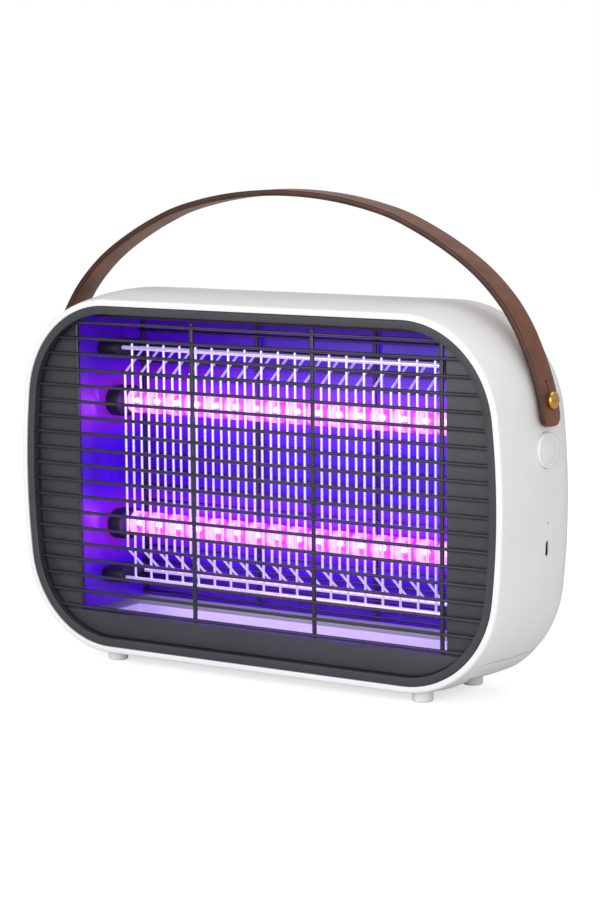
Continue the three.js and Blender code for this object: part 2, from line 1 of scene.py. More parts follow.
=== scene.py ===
"""Portable electric bug zapper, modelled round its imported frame. Metres, +Z up."""
import math

import bpy
from bpy.props import FloatProperty, IntProperty, PointerProperty, StringProperty
from mathutils import Matrix, Vector


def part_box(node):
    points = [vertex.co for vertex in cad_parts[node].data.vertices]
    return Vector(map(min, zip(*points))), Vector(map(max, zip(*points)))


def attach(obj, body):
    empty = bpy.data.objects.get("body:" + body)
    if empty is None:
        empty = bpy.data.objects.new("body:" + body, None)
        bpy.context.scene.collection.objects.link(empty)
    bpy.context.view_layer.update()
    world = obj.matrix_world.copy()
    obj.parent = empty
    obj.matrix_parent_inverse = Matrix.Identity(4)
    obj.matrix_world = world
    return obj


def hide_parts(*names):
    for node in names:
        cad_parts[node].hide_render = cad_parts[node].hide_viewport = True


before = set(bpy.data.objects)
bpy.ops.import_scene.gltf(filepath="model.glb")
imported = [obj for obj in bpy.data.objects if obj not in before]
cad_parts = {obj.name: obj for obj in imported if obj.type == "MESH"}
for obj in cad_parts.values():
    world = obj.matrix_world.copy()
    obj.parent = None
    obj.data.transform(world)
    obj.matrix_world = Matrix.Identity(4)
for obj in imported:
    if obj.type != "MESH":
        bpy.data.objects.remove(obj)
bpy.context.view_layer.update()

bl_info = {
    "name": "Bug Zapper",
    "version": (1, 0, 0),
    "blender": (4, 5, 0),
    "location": "View3D > Sidebar > Bug Zapper",
    "description": "Builds a portable bug zapper with a guarded grid, LED tubes and a leather strap",
    "category": "Add Mesh",
}

MM = 0.001
GAP = 0.3 * MM                       # between pieces that meet
SHELL_LOW, SHELL_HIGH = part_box("housing_shell")
BEZEL_LOW, BEZEL_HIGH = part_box("front_bezel")
STRAP_LOW, STRAP_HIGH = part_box("carry_strap")
DOOR_LOW, DOOR_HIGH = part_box("tray_door")
FRONT_Y = SHELL_LOW.y
REAR_Y = SHELL_HIGH.y
RING_HALF_WIDTH = BEZEL_HIGH.x + GAP
MID_Z = (BEZEL_LOW.z + BEZEL_HIGH.z) / 2
RING_HALF_HEIGHT = (BEZEL_HIGH.z - BEZEL_LOW.z) / 2 + GAP
DOOR_SEAM = 0.55 * MM                # round the tray's door
PAST = 10 * MM                       # a cutter's reach past a surface
SIDE_X = 188 * MM                    # where the studs and controls pass the side wall
STUD_HOLE = 2.4 * MM                 # radius, in the housing and the strap
SCREW_SHANK = 1.3 * MM               # radius
SCREW_HOLE = 1.6 * MM                # radius, in the housing and its cover
SCREW_HEAD = 3 * MM                  # radius
LEVELS = ("lower", "upper")
LED_COUNT = 17
LED_PITCH = 16.1 * MM


# ---------------------------------------------------------------- sizes and colours

class ZapperHousingSizes(bpy.types.PropertyGroup):
    """Sizes of the moulded housing"""
    corner_radius: FloatProperty(name="Corner radius", description="Radius of the ring's corners",
                                 default=64 * MM, unit="LENGTH")
    corner_x: FloatProperty(name="Corner centre", description="Corner arcs' centres, from the middle",
                            default=112.7 * MM, unit="LENGTH")
    rim_band: FloatProperty(name="Rim", description="Width of the white rim round the ring",
                            default=3.8 * MM, unit="LENGTH")
    crown: FloatProperty(name="Crown", description="How far the housing swells in the middle",
                         default=5.2 * MM, unit="LENGTH")
    bottom_crown: FloatProperty(name="Bottom crown", description="Part of the crown at the bottom",
                                default=0.6, subtype="FACTOR")
    back_round: FloatProperty(name="Back rounding", description="Radius of the soft back edge",
                              default=28 * MM, unit="LENGTH")
    wall: FloatProperty(name="Wall", description="Thickness of the moulded wall",
                        default=3 * MM, unit="LENGTH")
    cover_inset: FloatProperty(name="Cover inset", description="Rear cover's edge, inside the ring",
                               default=28.6 * MM, unit="LENGTH")


class ZapperFrontSizes(bpy.types.PropertyGroup):
    """Sizes of the bezel, guard and grids"""
    ring_width: FloatProperty(name="Ring width", description="Width of the dark ring",
                              default=5.5 * MM, unit="LENGTH")
    groove: FloatProperty(name="Groove", description="Width of the groove inside the ring",
                          default=0.9 * MM, unit="LENGTH")
    window_half: FloatProperty(name="Window half width", description="Half the window's width",
                               default=141.6 * MM, unit="LENGTH")
    guard_wires: IntProperty(name="Guard wires", description="Number of wires in each guard",
                             default=19)
    guard_pitch: FloatProperty(name="Guard pitch", description="Spacing of the guard's wires",
                               default=10.35 * MM, unit="LENGTH")
    grid_wires: IntProperty(name="Grid wires", description="Number of wires in each grid",
                            default=19)


class ZapperStrapSizes(bpy.types.PropertyGroup):
    """Sizes of the carry strap"""
    width: FloatProperty(name="Width", description="Width of the strap", default=20 * MM,
                         unit="LENGTH")
    thickness: FloatProperty(name="Thickness", description="Thickness of the leather",
                             default=3.8 * MM, unit="LENGTH")
    end_corner: FloatProperty(name="End corner", description="Radius of the ends' corners",
                              default=6.5 * MM, unit="LENGTH")


class ZapperColours(bpy.types.PropertyGroup):
    """Colours of the finishes, as sRGB hex"""
    white: StringProperty(name="White ABS", description="Housing", default="#f2f2f1")
    dark: StringProperty(name="Dark ABS", description="Bezel and panels", default="#38393e")
    black: StringProperty(name="Black nylon", description="Sockets and clips", default="#17171a")
    leather: StringProperty(name="Leather", description="Strap's face", default="#80502f")
    edge: StringProperty(name="Leather edge", description="Burnished edge", default="#48200f")
    brass: StringProperty(name="Brass", description="Studs", default="#e3b566")


def sizes(group):
    """One of the scene's groups of sizes."""
    return getattr(bpy.context.scene, "zapper_" + group)


# ---------------------------------------------------------------- modelling helpers

def deselect():
    """Clears the selection, which the next primitive would otherwise join."""
    bpy.ops.object.select_all(action="DESELECT")


def activate(*objects):
    """Selects only these objects, the first one active."""
    deselect()
    for obj in objects:
        obj.select_set(True)
    bpy.context.view_layer.objects.active = objects[0]


def settle(obj, name):
    """Names an object and puts its place into its mesh."""
    obj.name = name
    obj.data.name = name
    activate(obj)
    bpy.ops.object.transform_apply(location=True, rotation=True, scale=True)
    return obj


def modify(obj, kind, **settings):
    """Adds a modifier and applies it."""
    activate(obj)
    modifier = obj.modifiers.new(kind.title(), kind)
    for key, value in settings.items():
        setattr(modifier, key, value)
    bpy.ops.object.modifier_apply(modifier=modifier.name)
    return obj


def bevel(obj, width, segments=3, angle=35):
    """Rounds the edges that turn by more than an angle."""
    return modify(obj, "BEVEL", width=width, segments=segments, limit_method="ANGLE",
                  angle_limit=math.radians(angle), use_clamp_overlap=True, miter_outer="MITER_ARC")


def repeated(obj, count, pitch):
    """A row of copies along X."""
    return modify(obj, "ARRAY", count=count, use_relative_offset=False, use_constant_offset=True,
                  constant_offset_displace=(pitch, 0, 0))


def smooth(obj, angle=35):
    """Smooth shading, with edges past an angle kept sharp."""
    activate(obj)
    bpy.ops.object.shade_smooth_by_angle(angle=math.radians(angle))
    return obj


def outward(obj):
    """Merges doubles and turns every face outwards."""
    activate(obj)
    bpy.ops.object.mode_set(mode="EDIT")
    bpy.ops.mesh.select_all(action="SELECT")
    bpy.ops.mesh.remove_doubles(threshold=0.002 * MM)
    bpy.ops.mesh.normals_make_consistent(inside=False)
    bpy.ops.object.mode_set(mode="OBJECT")
    return obj


def combine(obj, other, operation):
    """Joins, cuts or intersects an object with another, which is used up."""
    modify(obj, "BOOLEAN", operation=operation, object=other, solver="EXACT")
    bpy.data.objects.remove(other)
    return obj


def cut(obj, *cutters):
    """Takes other objects out of one."""
    for cutter in cutters:
        combine(obj, cutter, "DIFFERENCE")
    return obj


def joined(name, objects):
    """One object of several separate solids."""
    activate(*objects)
    bpy.ops.object.join()
    objects[0].name = name
    objects[0].data.name = name
    return objects[0]


def middle_of(node):
    """The middle of a CAD node's box."""
    low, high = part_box(node)
    return (low + high) / 2


def box(name, low, high):
    """A block between two corners."""
    deselect()
    low, high = Vector(low), Vector(high)
    bpy.ops.mesh.primitive_cube_add(size=1, location=(low + high) / 2, scale=high - low)
    return settle(bpy.context.object, name)


AXIS_TURNS = {"X": (0, math.pi / 2, 0), "Y": (-math.pi / 2, 0, 0), "Z": (0, 0, 0)}


def rod(name, axis, centre, length, radius, sides=16, fill="NGON"):
    """A round bar along an axis, centred on a point."""
    deselect()
    bpy.ops.mesh.primitive_cylinder_add(vertices=sides, radius=radius, depth=length,
                                        location=centre, rotation=AXIS_TURNS[axis],
                                        end_fill_type=fill)
    return settle(bpy.context.object, name)


def swept(name, loops):
    """A ring of section loops: a torus whose turns take the places of the given points."""
    deselect()
    bpy.ops.mesh.primitive_torus_add(major_segments=len(loops), minor_segments=len(loops[0]))
    obj = bpy.context.object
    for vertex, point in zip(obj.data.vertices, [point for loop in loops for point in loop]):
        vertex.co = point
    return outward(settle(obj, name))


def lofted(name, loops):
    """A closed bar of section loops: a grid rolled up along them, with its ends filled."""
    deselect()
    bpy.ops.mesh.primitive_grid_add(x_subdivisions=len(loops[0]), y_subdivisions=len(loops) - 1)
    obj = bpy.context.object
    for vertex, point in zip(obj.data.vertices, [p for loop in loops for p in (*loop, loop[0])]):
        vertex.co = point
    outward(settle(obj, name))
    bpy.ops.object.mode_set(mode="EDIT")
    bpy.ops.mesh.select_all(action="SELECT")
    bpy.ops.mesh.fill_holes(sides=0)
    bpy.ops.object.mode_set(mode="OBJECT")
    return outward(obj)


def plate(name, points, y0, y1):
    """A flat plate with an outline in the XZ plane, extruded along Y."""
    deselect()
    bpy.ops.mesh.primitive_circle_add(vertices=len(points), fill_type="NGON")
    obj = bpy.context.object
    for vertex, (x, z) in zip(obj.data.vertices, points):
        vertex.co = (x, y0, z)
    bpy.ops.object.mode_set(mode="EDIT")
    bpy.ops.mesh.select_all(action="SELECT")
    bpy.ops.mesh.extrude_region_move(TRANSFORM_OT_translate={"value": (0, y1 - y0, 0)})
    bpy.ops.object.mode_set(mode="OBJECT")
    return outward(settle(obj, name))


def turned(name, profile, y, z, side=1, sides=64):
    """A turned solid along X from [distance along X, radius], whose ends lie on the axis."""
    rings = len(profile) - 1
    deselect()
    bpy.ops.mesh.primitive_uv_sphere_add(segments=sides, ring_count=rings)
    obj = bpy.context.object
    for vertex in obj.data.vertices:
        polar = math.acos(max(-1.0, min(1.0, vertex.co.z)))
        along, radius = profile[round(polar / math.pi * rings)]
        turn = math.atan2(vertex.co.y, vertex.co.x)
        vertex.co = (side * along, y + radius * math.cos(turn), z + radius * math.sin(turn))
    return outward(settle(obj, name))


def wire_rod(name, axis, centre, length, radius, sides=16):
    """A straight wire with softened ends."""
    return bevel(rod(name, axis, centre, length, radius, sides), 0.3 * MM, 2, 60)


def bent_rod(name, points, radius, sides=12):
    """A round wire along a polyline with soft bends."""
    curve = bpy.data.curves.new(name, "CURVE")
    curve.dimensions = "3D"
    curve.bevel_depth = radius
    curve.bevel_resolution = sides // 4
    curve.use_fill_caps = True
    spline = curve.splines.new("POLY")
    spline.points.add(len(points) - 1)
    for spot, point in zip(spline.points, points):
        spot.co = (*point, 1)
    obj = bpy.data.objects.new(name, curve)
    bpy.context.scene.collection.objects.link(obj)
    activate(obj)
    bpy.ops.object.convert(target="MESH")
    return outward(settle(bpy.context.object, name))


def refined(node, width, angle=35):
    """A copy of a CAD node with merged corners, softened edges and smooth shading."""
    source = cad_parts[node]
    obj = bpy.data.objects.new(node + "_moulded", source.data.copy())
    bpy.context.scene.collection.objects.link(obj)
    obj.data.materials.clear()
    outward(obj)
    modify(obj, "DECIMATE", decimate_type="DISSOLVE", angle_limit=math.radians(1))
    bevel(obj, width, 2, angle)
    return smooth(obj, angle)


def finish(obj, node, body, slot, *materials):
    """Makes a piece stand for a CAD node, with its finish."""
    for material in materials:
        if material.name not in obj.data.materials:
            obj.data.materials.append(material)
    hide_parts(node)
    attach(obj, body)


def refine_all(nodes, slot, material, width=0.3 * MM, angle=35):
    """Refined copies of CAD nodes that ride on the housing."""
    for node in nodes:
        finish(refined(node, width, angle=angle), node, "housing", slot, MATERIALS[material])


def corners(stem, rows):
    """Node names with each row and side."""
    return [f"{stem}_{row}_{side}" for row in rows for side in ("left", "right")]


def coat(node, material):
    """Gives a carried-over CAD node its finish."""
    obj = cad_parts[node]
    obj.data.materials.clear()
    obj.data.materials.append(material)


# ---------------------------------------------------------------- housing form

CORNER_STEPS = 28
END_STEPS = 20


def outline_arcs():
    """Centre, radius and angles of each arc of the ring's outline."""
    form = sizes("housing")
    radius, corner_x = form.corner_radius, form.corner_x
    rise = RING_HALF_HEIGHT - radius
    reach = RING_HALF_WIDTH - corner_x
    end_radius = (reach ** 2 + rise ** 2 - radius ** 2) / (2 * (reach - radius))
    end_centre = RING_HALF_WIDTH - end_radius
    lean = math.atan2(rise, corner_x - end_centre)
    quarter = math.pi / 2
    high, low = MID_Z + rise, MID_Z - rise
    return [
        (end_centre, MID_Z, end_radius, -lean, lean, END_STEPS),
        (corner_x, high, radius, lean, quarter, CORNER_STEPS),
        (-corner_x, high, radius, quarter, 2 * quarter - lean, CORNER_STEPS),
        (-end_centre, MID_Z, end_radius, 2 * quarter - lean, 2 * quarter + lean, END_STEPS),
        (-corner_x, low, radius, 2 * quarter + lean, 3 * quarter, CORNER_STEPS),
        (corner_x, low, radius, 3 * quarter, 4 * quarter - lean, CORNER_STEPS),
    ]


def outline(offset, crown=0.0):
    """Points (x, z) of the outline, moved outwards; the crown is lower at the bottom."""
    points = []
    bottom_crown = sizes("housing").bottom_crown
    for centre_x, centre_z, radius, start, end, steps in outline_arcs():
        straight_follows = abs(math.cos(end)) < 1e-6
        for i in range(steps + 1 if straight_follows else steps):
            angle = start + (end - start) * i / steps
            nx, nz = math.cos(angle), math.sin(angle)
            lift = bottom_crown if nz < 0 else 1
            points.append((centre_x + (radius + offset + crown) * nx,
                           centre_z + (radius + offset + crown * lift) * nz))
    return points


def half_width_at(z, offset):
    """Half the outline's width at a height."""
    arcs = outline_arcs()
    end_centre, _, end_radius, _, lean, _ = arcs[0]
    corner_x, corner_z, corner_radius = arcs[1][:3]
    up = abs(z - MID_Z)
    if up < (end_radius + offset) * math.sin(lean):
        return end_centre + math.sqrt((end_radius + offset) ** 2 - up ** 2)
    return corner_x + math.sqrt((corner_radius + offset) ** 2 - (up - corner_z + MID_Z) ** 2)


def crown_at(y):
    """How far the housing swells at a depth."""
    return sizes("housing").crown * (1 - (y / REAR_Y) ** 2)


def arc_points(centre, radius, start, end, steps, *marks):
    """Points of an arc in a profile, angles in degrees, each followed by the given marks."""
    turns = [math.radians(start + (end - start) * i / steps) for i in range(steps + 1)]
    return [(centre[0] + radius * math.cos(t), centre[1] + radius * math.sin(t), *marks)
            for t in turns]


def outer_profile():
    """The housing's outer surface as (offset from the ring, y), from the rim to the back."""
    form = sizes("housing")
    fillet = 1.3 * MM
    back_start = REAR_Y - form.back_round
    rim = arc_points((form.rim_band - fillet, FRONT_Y + fillet), fillet, -90, 0, 6)
    side_start = FRONT_Y + fillet
    side = [(form.rim_band, side_start + (back_start - side_start) * i / 20) for i in range(1, 20)]
    back = arc_points((form.rim_band - form.back_round, back_start), form.back_round, 0, 90, 22)
    return rim + side + back


def form_loops(profile):
    """Profile points swept round the outline; each point's crown follows its place along Y."""
    rows = [[(x, y, z) for x, z in outline(offset, crown_at(y) if crowned else 0.0)]
            for offset, y, crowned in profile]
    return [list(loop) for loop in zip(*rows)]


def outer_form(name, inset=0.0):
    """The housing's outer surface as a thick band, for pieces that follow it."""
    inside = -60 * MM
    profile = [(inside, 40 * MM, True), (inside, -40 * MM, True)]
    profile += [(a - inset, y, True) for a, y in outer_profile()]
    return swept(name, form_loops(profile))


def shell_profile():
    """Closed section of the housing's wall as (offset, y, crowned)."""
    form = sizes("housing")
    lip_back = -36 * MM
    back_wall = 41.5 * MM
    seat = 44 * MM
    cover_edge = -form.cover_inset + GAP
    ledge = -form.cover_inset - 10 * MM
    back_start = REAR_Y - form.back_round
    points = [(0.0, lip_back, False), (0.0, -41 * MM, False)]
    points += arc_points((0.5 * MM, FRONT_Y + 0.5 * MM), 0.5 * MM, 180, 270, 4, False)
    points += [(a, y, True) for a, y in outer_profile()]
    points += arc_points((cover_edge + 0.6 * MM, REAR_Y - 0.6 * MM), 0.6 * MM, 90, 180, 4, False)
    points += [(cover_edge, seat, False), (ledge, seat, False), (ledge, back_wall, False)]
    for y in (41.5 * MM, 36 * MM, 31 * MM, 25 * MM, 19 * MM, 0.0, -20 * MM, lip_back):
        past = max(0.0, y - back_start)
        shrink = form.back_round - math.sqrt(form.back_round ** 2 - past ** 2)
        points.append((form.rim_band - form.wall - shrink, y, True))
    return points


# ---------------------------------------------------------------- materials

def to_linear(code):
    """An sRGB hex colour as linear RGBA."""
    channels = [int(code[i:i + 2], 16) / 255 for i in (1, 3, 5)]
    return [c / 12.92 if c <= 0.04045 else ((c + 0.055) / 1.055) ** 2.4 for c in channels] + [1.0]


def add_node(tree, kind, settings=None, links=None, **values):
    """Adds a node, sets its properties and socket values, and links its inputs."""
    node = tree.nodes.new("ShaderNode" + kind)
    for key, value in (settings or {}).items():
        setattr(node, key, value)
    for key, value in values.items():
        node.inputs[key.replace("_", " ")].default_value = value
    for key, source in (links or {}).items():
        tree.links.new(source, node.inputs[key])
    return node


def new_material(name):
    """An empty material with its tree, shader and object coordinates."""
    material = bpy.data.materials.new(name)
    material.use_nodes = True
    tree = material.node_tree
    shader = tree.nodes["Principled BSDF"]
    place = add_node(tree, "TexCoord").outputs["Object"]
    return material, tree, shader, place


def set_shader(tree, shader, **values):
    """Links patterns to the shader's sockets and sets its constants."""
    for key, value in values.items():
        socket = shader.inputs[key.replace("_", " ")]
        if isinstance(value, bpy.types.NodeSocket):
            tree.links.new(value, socket)
        else:
            socket.default_value = value


def mottle(tree, place, grain, detail=3.0):
    """Noise with lumps of a real size."""
    return add_node(tree, "TexNoise", links={"Vector": place}, Scale=1 / grain,
                    Detail=detail).outputs["Fac"]


def blend_colours(tree, amount, low, high, start=0.35, end=0.65):
    """Two colours mixed by a pattern."""
    ramp = add_node(tree, "ValToRGB", links={"Fac": amount})
    ramp.color_ramp.elements[0].position = start
    ramp.color_ramp.elements[1].position = end
    ramp.color_ramp.elements[0].color = to_linear(low)
    ramp.color_ramp.elements[1].color = to_linear(high)
    return ramp.outputs["Color"]


def spread(tree, amount, low, high):
    """A pattern stretched to a range of values."""
    return add_node(tree, "MapRange", links={"Value": amount}, To_Min=low,
                    To_Max=high).outputs["Result"]


def bump(tree, height, distance, strength=1.0):
    """A normal from a pattern's height."""
    return add_node(tree, "Bump", links={"Height": height}, Distance=distance,
                    Strength=strength).outputs["Normal"]


def moulded_plastic(name, low, high, roughness, grain=0.35 * MM, depth=0.012 * MM):
    """A moulded thermoplastic: an even colour, a fine spark-eroded grain, slight gloss changes."""
    material, tree, shader, place = new_material(name)
    broad = mottle(tree, place, 40 * MM)
    fine = mottle(tree, place, grain)
    set_shader(tree, shader, Base_Color=blend_colours(tree, broad, low, high),
               Roughness=spread(tree, broad, roughness - 0.03, roughness + 0.03),
               Normal=bump(tree, fine, depth, 0.5), IOR=1.53)
    return material


def plated_steel(name, glow):
    """Nickel-plated steel: bright, with faint drawing lines; the grids also get a painted glow, a
    lilac emission that stands in for the tubes' violet light.
    """
    material, tree, shader, place = new_material(name)
    lines = mottle(tree, place, 1.5 * MM)
    # Where glow is above zero, the lilac emission is painted light: the tubes' violet light on the
    # wires.
    set_shader(tree, shader, Base_Color=blend_colours(tree, lines, "#dcd8ee", "#f6f2ff"),
               Roughness=spread(tree, lines, 0.22, 0.36), Metallic=0.75,
               Emission_Color=to_linear("#cdbcff"), Emission_Strength=glow)
    return material


def bright_brass(colour):
    """Polished cast brass: warm metal with fine turning marks."""
    material, tree, shader, place = new_material("polished_brass")
    marks = mottle(tree, place, 0.5 * MM)
    set_shader(tree, shader, Base_Color=blend_colours(tree, marks, "#d6a352", colour),
               Roughness=spread(tree, marks, 0.16, 0.28),
               Normal=bump(tree, marks, 0.01 * MM, 0.4), Metallic=1.0)
    return material


def strap_leather(name, low, high, roughness, depth):
    """Vegetable-tanned leather: pores and fine creases, a waxed sheen, darker patches."""
    material, tree, shader, place = new_material(name)
    patches = mottle(tree, place, 18 * MM, 6.0)
    pores = add_node(tree, "TexVoronoi", links={"Vector": place}, Scale=1 / (0.9 * MM))
    creases = mottle(tree, place, 1.6 * MM, 8.0)
    relief = add_node(tree, "Math", {"operation": "ADD"}, {0: pores.outputs["Distance"], 1: creases})
    set_shader(tree, shader, Base_Color=blend_colours(tree, patches, low, high, 0.3, 0.7),
               Roughness=spread(tree, creases, roughness - 0.08, roughness + 0.1),
               Normal=bump(tree, relief.outputs["Value"], depth, 0.6), IOR=1.45,
               Coat_Weight=0.1, Coat_Roughness=0.35)
    return material


def lit_panel():
    """Reflector sheet and end walls, ABS: glossy; its violet colour is painted light from the tubes,
    and the magenta glow near the tubes is painted light too.
    """
    material, tree, shader, place = new_material("reflector_painted_violet_light")
    height = add_node(tree, "SeparateXYZ", links={"Vector": place}).outputs["Z"]
    glow = None
    # Mask of nearness to each tube, where the painted magenta glow is strongest.
    for level in LEVELS:
        away = add_node(tree, "Math", {"operation": "SUBTRACT"}, {0: height})
        away.inputs[1].default_value = middle_of("led_tube_" + level).z
        far = add_node(tree, "Math", {"operation": "ABSOLUTE"}, {0: away.outputs["Value"]})
        near = add_node(tree, "MapRange", {"interpolation_type": "SMOOTHERSTEP"},
                        {"Value": far.outputs["Value"]}, From_Min=2 * MM, From_Max=34 * MM,
                        To_Min=1.0, To_Max=0.0).outputs["Result"]
        glow = near if glow is None else add_node(tree, "Math", {"operation": "MAXIMUM"},
                                                  {0: glow, 1: near}).outputs["Value"]
    # Painted light: emission from violet to magenta stands in for the tubes' light on the panel,
    # stronger near them.
    colour = blend_colours(tree, glow, "#4208a4", "#a424dc", 0.05, 0.95)
    # Painted light: the violet base colour stands in for the LEDs' violet light on the sheet; the
    # patches are random tone.
    patch = mottle(tree, place, 30 * MM)
    set_shader(tree, shader, Base_Color=blend_colours(tree, patch, "#37109c", "#4a18b4"),
               Emission_Color=colour, Roughness=spread(tree, glow, 0.3, 0.24),
               Emission_Strength=0.45, IOR=1.5)
    return material


def glowing_tube():
    """Clear acrylic tube, bright magenta round each LED behind it."""
    material, tree, shader, place = new_material("lit_acrylic_tube")
    along = add_node(tree, "SeparateXYZ", links={"Vector": place}).outputs["X"]
    wave = add_node(tree, "Math", {"operation": "MULTIPLY"}, {0: along})
    wave.inputs[1].default_value = 2 * math.pi / LED_PITCH
    peaks = add_node(tree, "Math", {"operation": "COSINE"}, {0: wave.outputs["Value"]})
    bright = add_node(tree, "MapRange", links={"Value": peaks.outputs["Value"]}, From_Min=-1.0,
                      From_Max=1.0, To_Min=0.0, To_Max=1.0).outputs["Result"]
    colour = blend_colours(tree, bright, "#9612e6", "#ffa0ff", 0.4, 1.0)
    set_shader(tree, shader, Emission_Color=colour, Base_Color=colour,
               Roughness=spread(tree, bright, 0.06, 0.12), Alpha=0.5, Emission_Strength=1.9,
               IOR=1.49)
    return material


def glowing_chip():
    """LED package: a pale lens over the lit die."""
    material, tree, shader, place = new_material("lit_led_chip")
    patch = mottle(tree, place, 1.2 * MM)
    set_shader(tree, shader, Emission_Color=blend_colours(tree, patch, "#ffc4ff", "#fff0ff"),
               Base_Color=blend_colours(tree, patch, "#ffe0ff", "#ffffff"),
               Emission_Strength=14.0, Roughness=0.3)
    return material


def lit_strip():
    """White solder mask on an LED strip; its violet tint and violet emission are painted light from
    its own chips.
    """
    material, tree, shader, place = new_material("white_mask_led_strip")
    patch = mottle(tree, place, 4 * MM)
    # Painted light: the violet base colour and emission stand in for the chips' light on the white
    # mask.
    set_shader(tree, shader, Base_Color=blend_colours(tree, patch, "#c8a8f0", "#dcc4ff"),
               Emission_Color=blend_colours(tree, patch, "#8a18f0", "#a42cff"),
               Emission_Strength=0.8, Roughness=0.4)
    return material


def circuit_board():
    """Solder mask over copper: green, with faint lines of tracks."""
    material, tree, shader, place = new_material("solder_mask_board")
    tracks = add_node(tree, "TexWave", {"wave_type": "BANDS", "bands_direction": "Z"},
                      {"Vector": place}, Scale=1 / (12 * MM), Distortion=4.0, Detail=2.0)
    shade = tracks.outputs["Fac"]
    set_shader(tree, shader, Base_Color=blend_colours(tree, shade, "#174a2c", "#2a7448"),
               Normal=bump(tree, shade, 0.03 * MM, 0.5), Roughness=0.38)
    return material


MATERIALS = {}


def make_materials():
    """Makes every finish once, from the chosen colours."""
    colours = sizes("colours")
    MATERIALS.update(
        # White ABS off a fine tool: a clean satin that softens the lights.
        white=moulded_plastic("moulded_white_abs", "#efefee", colours.white, 0.34),
        # Dark ABS off an eroded tool: matt, with a visible grain.
        dark=moulded_plastic("moulded_dark_abs", "#323337", colours.dark, 0.42, 0.5 * MM, 0.02 * MM),
        # Powder coat on wire: near black, with a thin highlight along the top.
        guard=moulded_plastic("coated_guard_wire", "#232428", "#2e2f34", 0.34),
        # Glass-filled nylon: black and dull.
        black=moulded_plastic("moulded_black_nylon", "#121215", colours.black, 0.5),
        # Thermoplastic rubber: white, with no gloss.
        rubber=moulded_plastic("moulded_tpu_foot", "#e9e9e7", "#f4f4f2", 0.6, 0.6 * MM, 0.02 * MM),
        # Shrunk PVC film: blue and glossy.
        wrap=moulded_plastic("pvc_cell_wrap", "#275f9a", "#2f74ba", 0.3),
        # Acrylic with no light behind it: a smooth grey dot.
        lens=moulded_plastic("clear_light_pipe", "#4c4c55", "#5c5c66", 0.2),
        # Nickel-plated wire: bright, with a painted glow: its lilac emission stands in for the tubes'
        # light on it.
        steel=plated_steel("plated_steel_wire_painted_glow", 0.5),
        screw=plated_steel("plated_steel_screw", 0.0),
        # Blackened steel: a dark slot with a faint sheen.
        socket=moulded_plastic("blackened_steel_socket", "#26262a", "#333338", 0.35),
        brass=bright_brass(colours.brass),
        leather=strap_leather("waxed_leather", "#5a3020", colours.leather, 0.4, 0.05 * MM),
        edge=strap_leather("burnished_leather_edge", "#2c1008", colours.edge, 0.3, 0.02 * MM),
        # Reflector and end walls: their violet colour and glow near the tubes are painted light.
        reflector=lit_panel(),
        tube=glowing_tube(),
        chip=glowing_chip(),
        board=circuit_board(),
        # LED strip: white mask with painted violet light and glow from its chips.
        strip=lit_strip(),
    )


# ---------------------------------------------------------------- operators

class ZapperHousing(bpy.types.Operator):
    """Builds the crowned housing shell with its openings"""
    bl_idname = "zapper.housing"
    bl_label = "Housing"

    def execute(self, context):
        make_materials()
        shell = swept("housing", form_loops(shell_profile()))
        backing_half = 34 * MM
        backing = box("scoop_backing", (129 * MM, -backing_half, 5 * MM),
                      (165 * MM, backing_half, DOOR_LOW.z - GAP))
        combine(backing, outer_form("form", sizes("housing").wall / 2), "INTERSECT")
        combine(shell, backing, "UNION")
        stud = middle_of("strap_stud_right")
        through = 30 * MM
        button_hole = 11.1 * MM
        light_hole = 0.9 * MM
        scoop_radius = 40.5 * MM
        scoop_width = 62 * MM
        scoop_centre = (153.7 * MM, 0, -23.3 * MM)
        cutters = [
            box("tray_opening", DOOR_LOW - Vector((DOOR_SEAM, DOOR_SEAM, DOOR_SEAM)),
                DOOR_HIGH + Vector((PAST, DOOR_SEAM, DOOR_SEAM))),
            rod("button_hole", "X", (SIDE_X, stud.y, middle_of("power_button").z), through,
                button_hole, 64),
            rod("light_hole", "X", (SIDE_X, stud.y, middle_of("light_pipe").z), through,
                light_hole, 24),
            rod("scoop", "Y", scoop_centre, scoop_width, scoop_radius, 256),
        ]
        for side in (-1, 1):
            cutters.append(rod("stud_hole", "X", (side * SIDE_X, stud.y, stud.z), through,
                               STUD_HOLE, 24))
        boss_radius = 4 * MM
        boss_front, boss_back = 34 * MM, 43 * MM
        for number in range(1, 5):
            x, _, z = middle_of(f"cover_screw_{number}")
            boss_at = (x, (boss_front + boss_back) / 2, z)
            boss = rod("boss", "Y", boss_at, boss_back - boss_front, boss_radius, 32)
            combine(shell, boss, "UNION")
            cutters.append(rod("screw_hole", "Y", (x, 40 * MM, z), 14 * MM, SCREW_HOLE, 24))
        slot_half = Vector((through / 2, 1.9 * MM, 4.8 * MM))
        slot_centre = Vector((SIDE_X, stud.y, middle_of("charging_socket").z))
        slot = box("socket_slot", slot_centre - slot_half, slot_centre + slot_half)
        upright = [edge for edge in slot.data.edges
                   if abs(slot.data.vertices[edge.vertices[0]].co.x
                          - slot.data.vertices[edge.vertices[1]].co.x) > through / 2]
        weight = slot.data.attributes.new("bevel_weight_edge", "FLOAT", "EDGE")
        for edge in upright:
            weight.data[edge.index].value = 1.0
        modify(slot, "BEVEL", width=1.85 * MM, segments=6, limit_method="WEIGHT")
        cut(shell, slot, *cutters)
        smooth(shell, 32)
        finish(shell, "housing_shell", "housing", "white_abs", MATERIALS["white"])
        return {"FINISHED"}


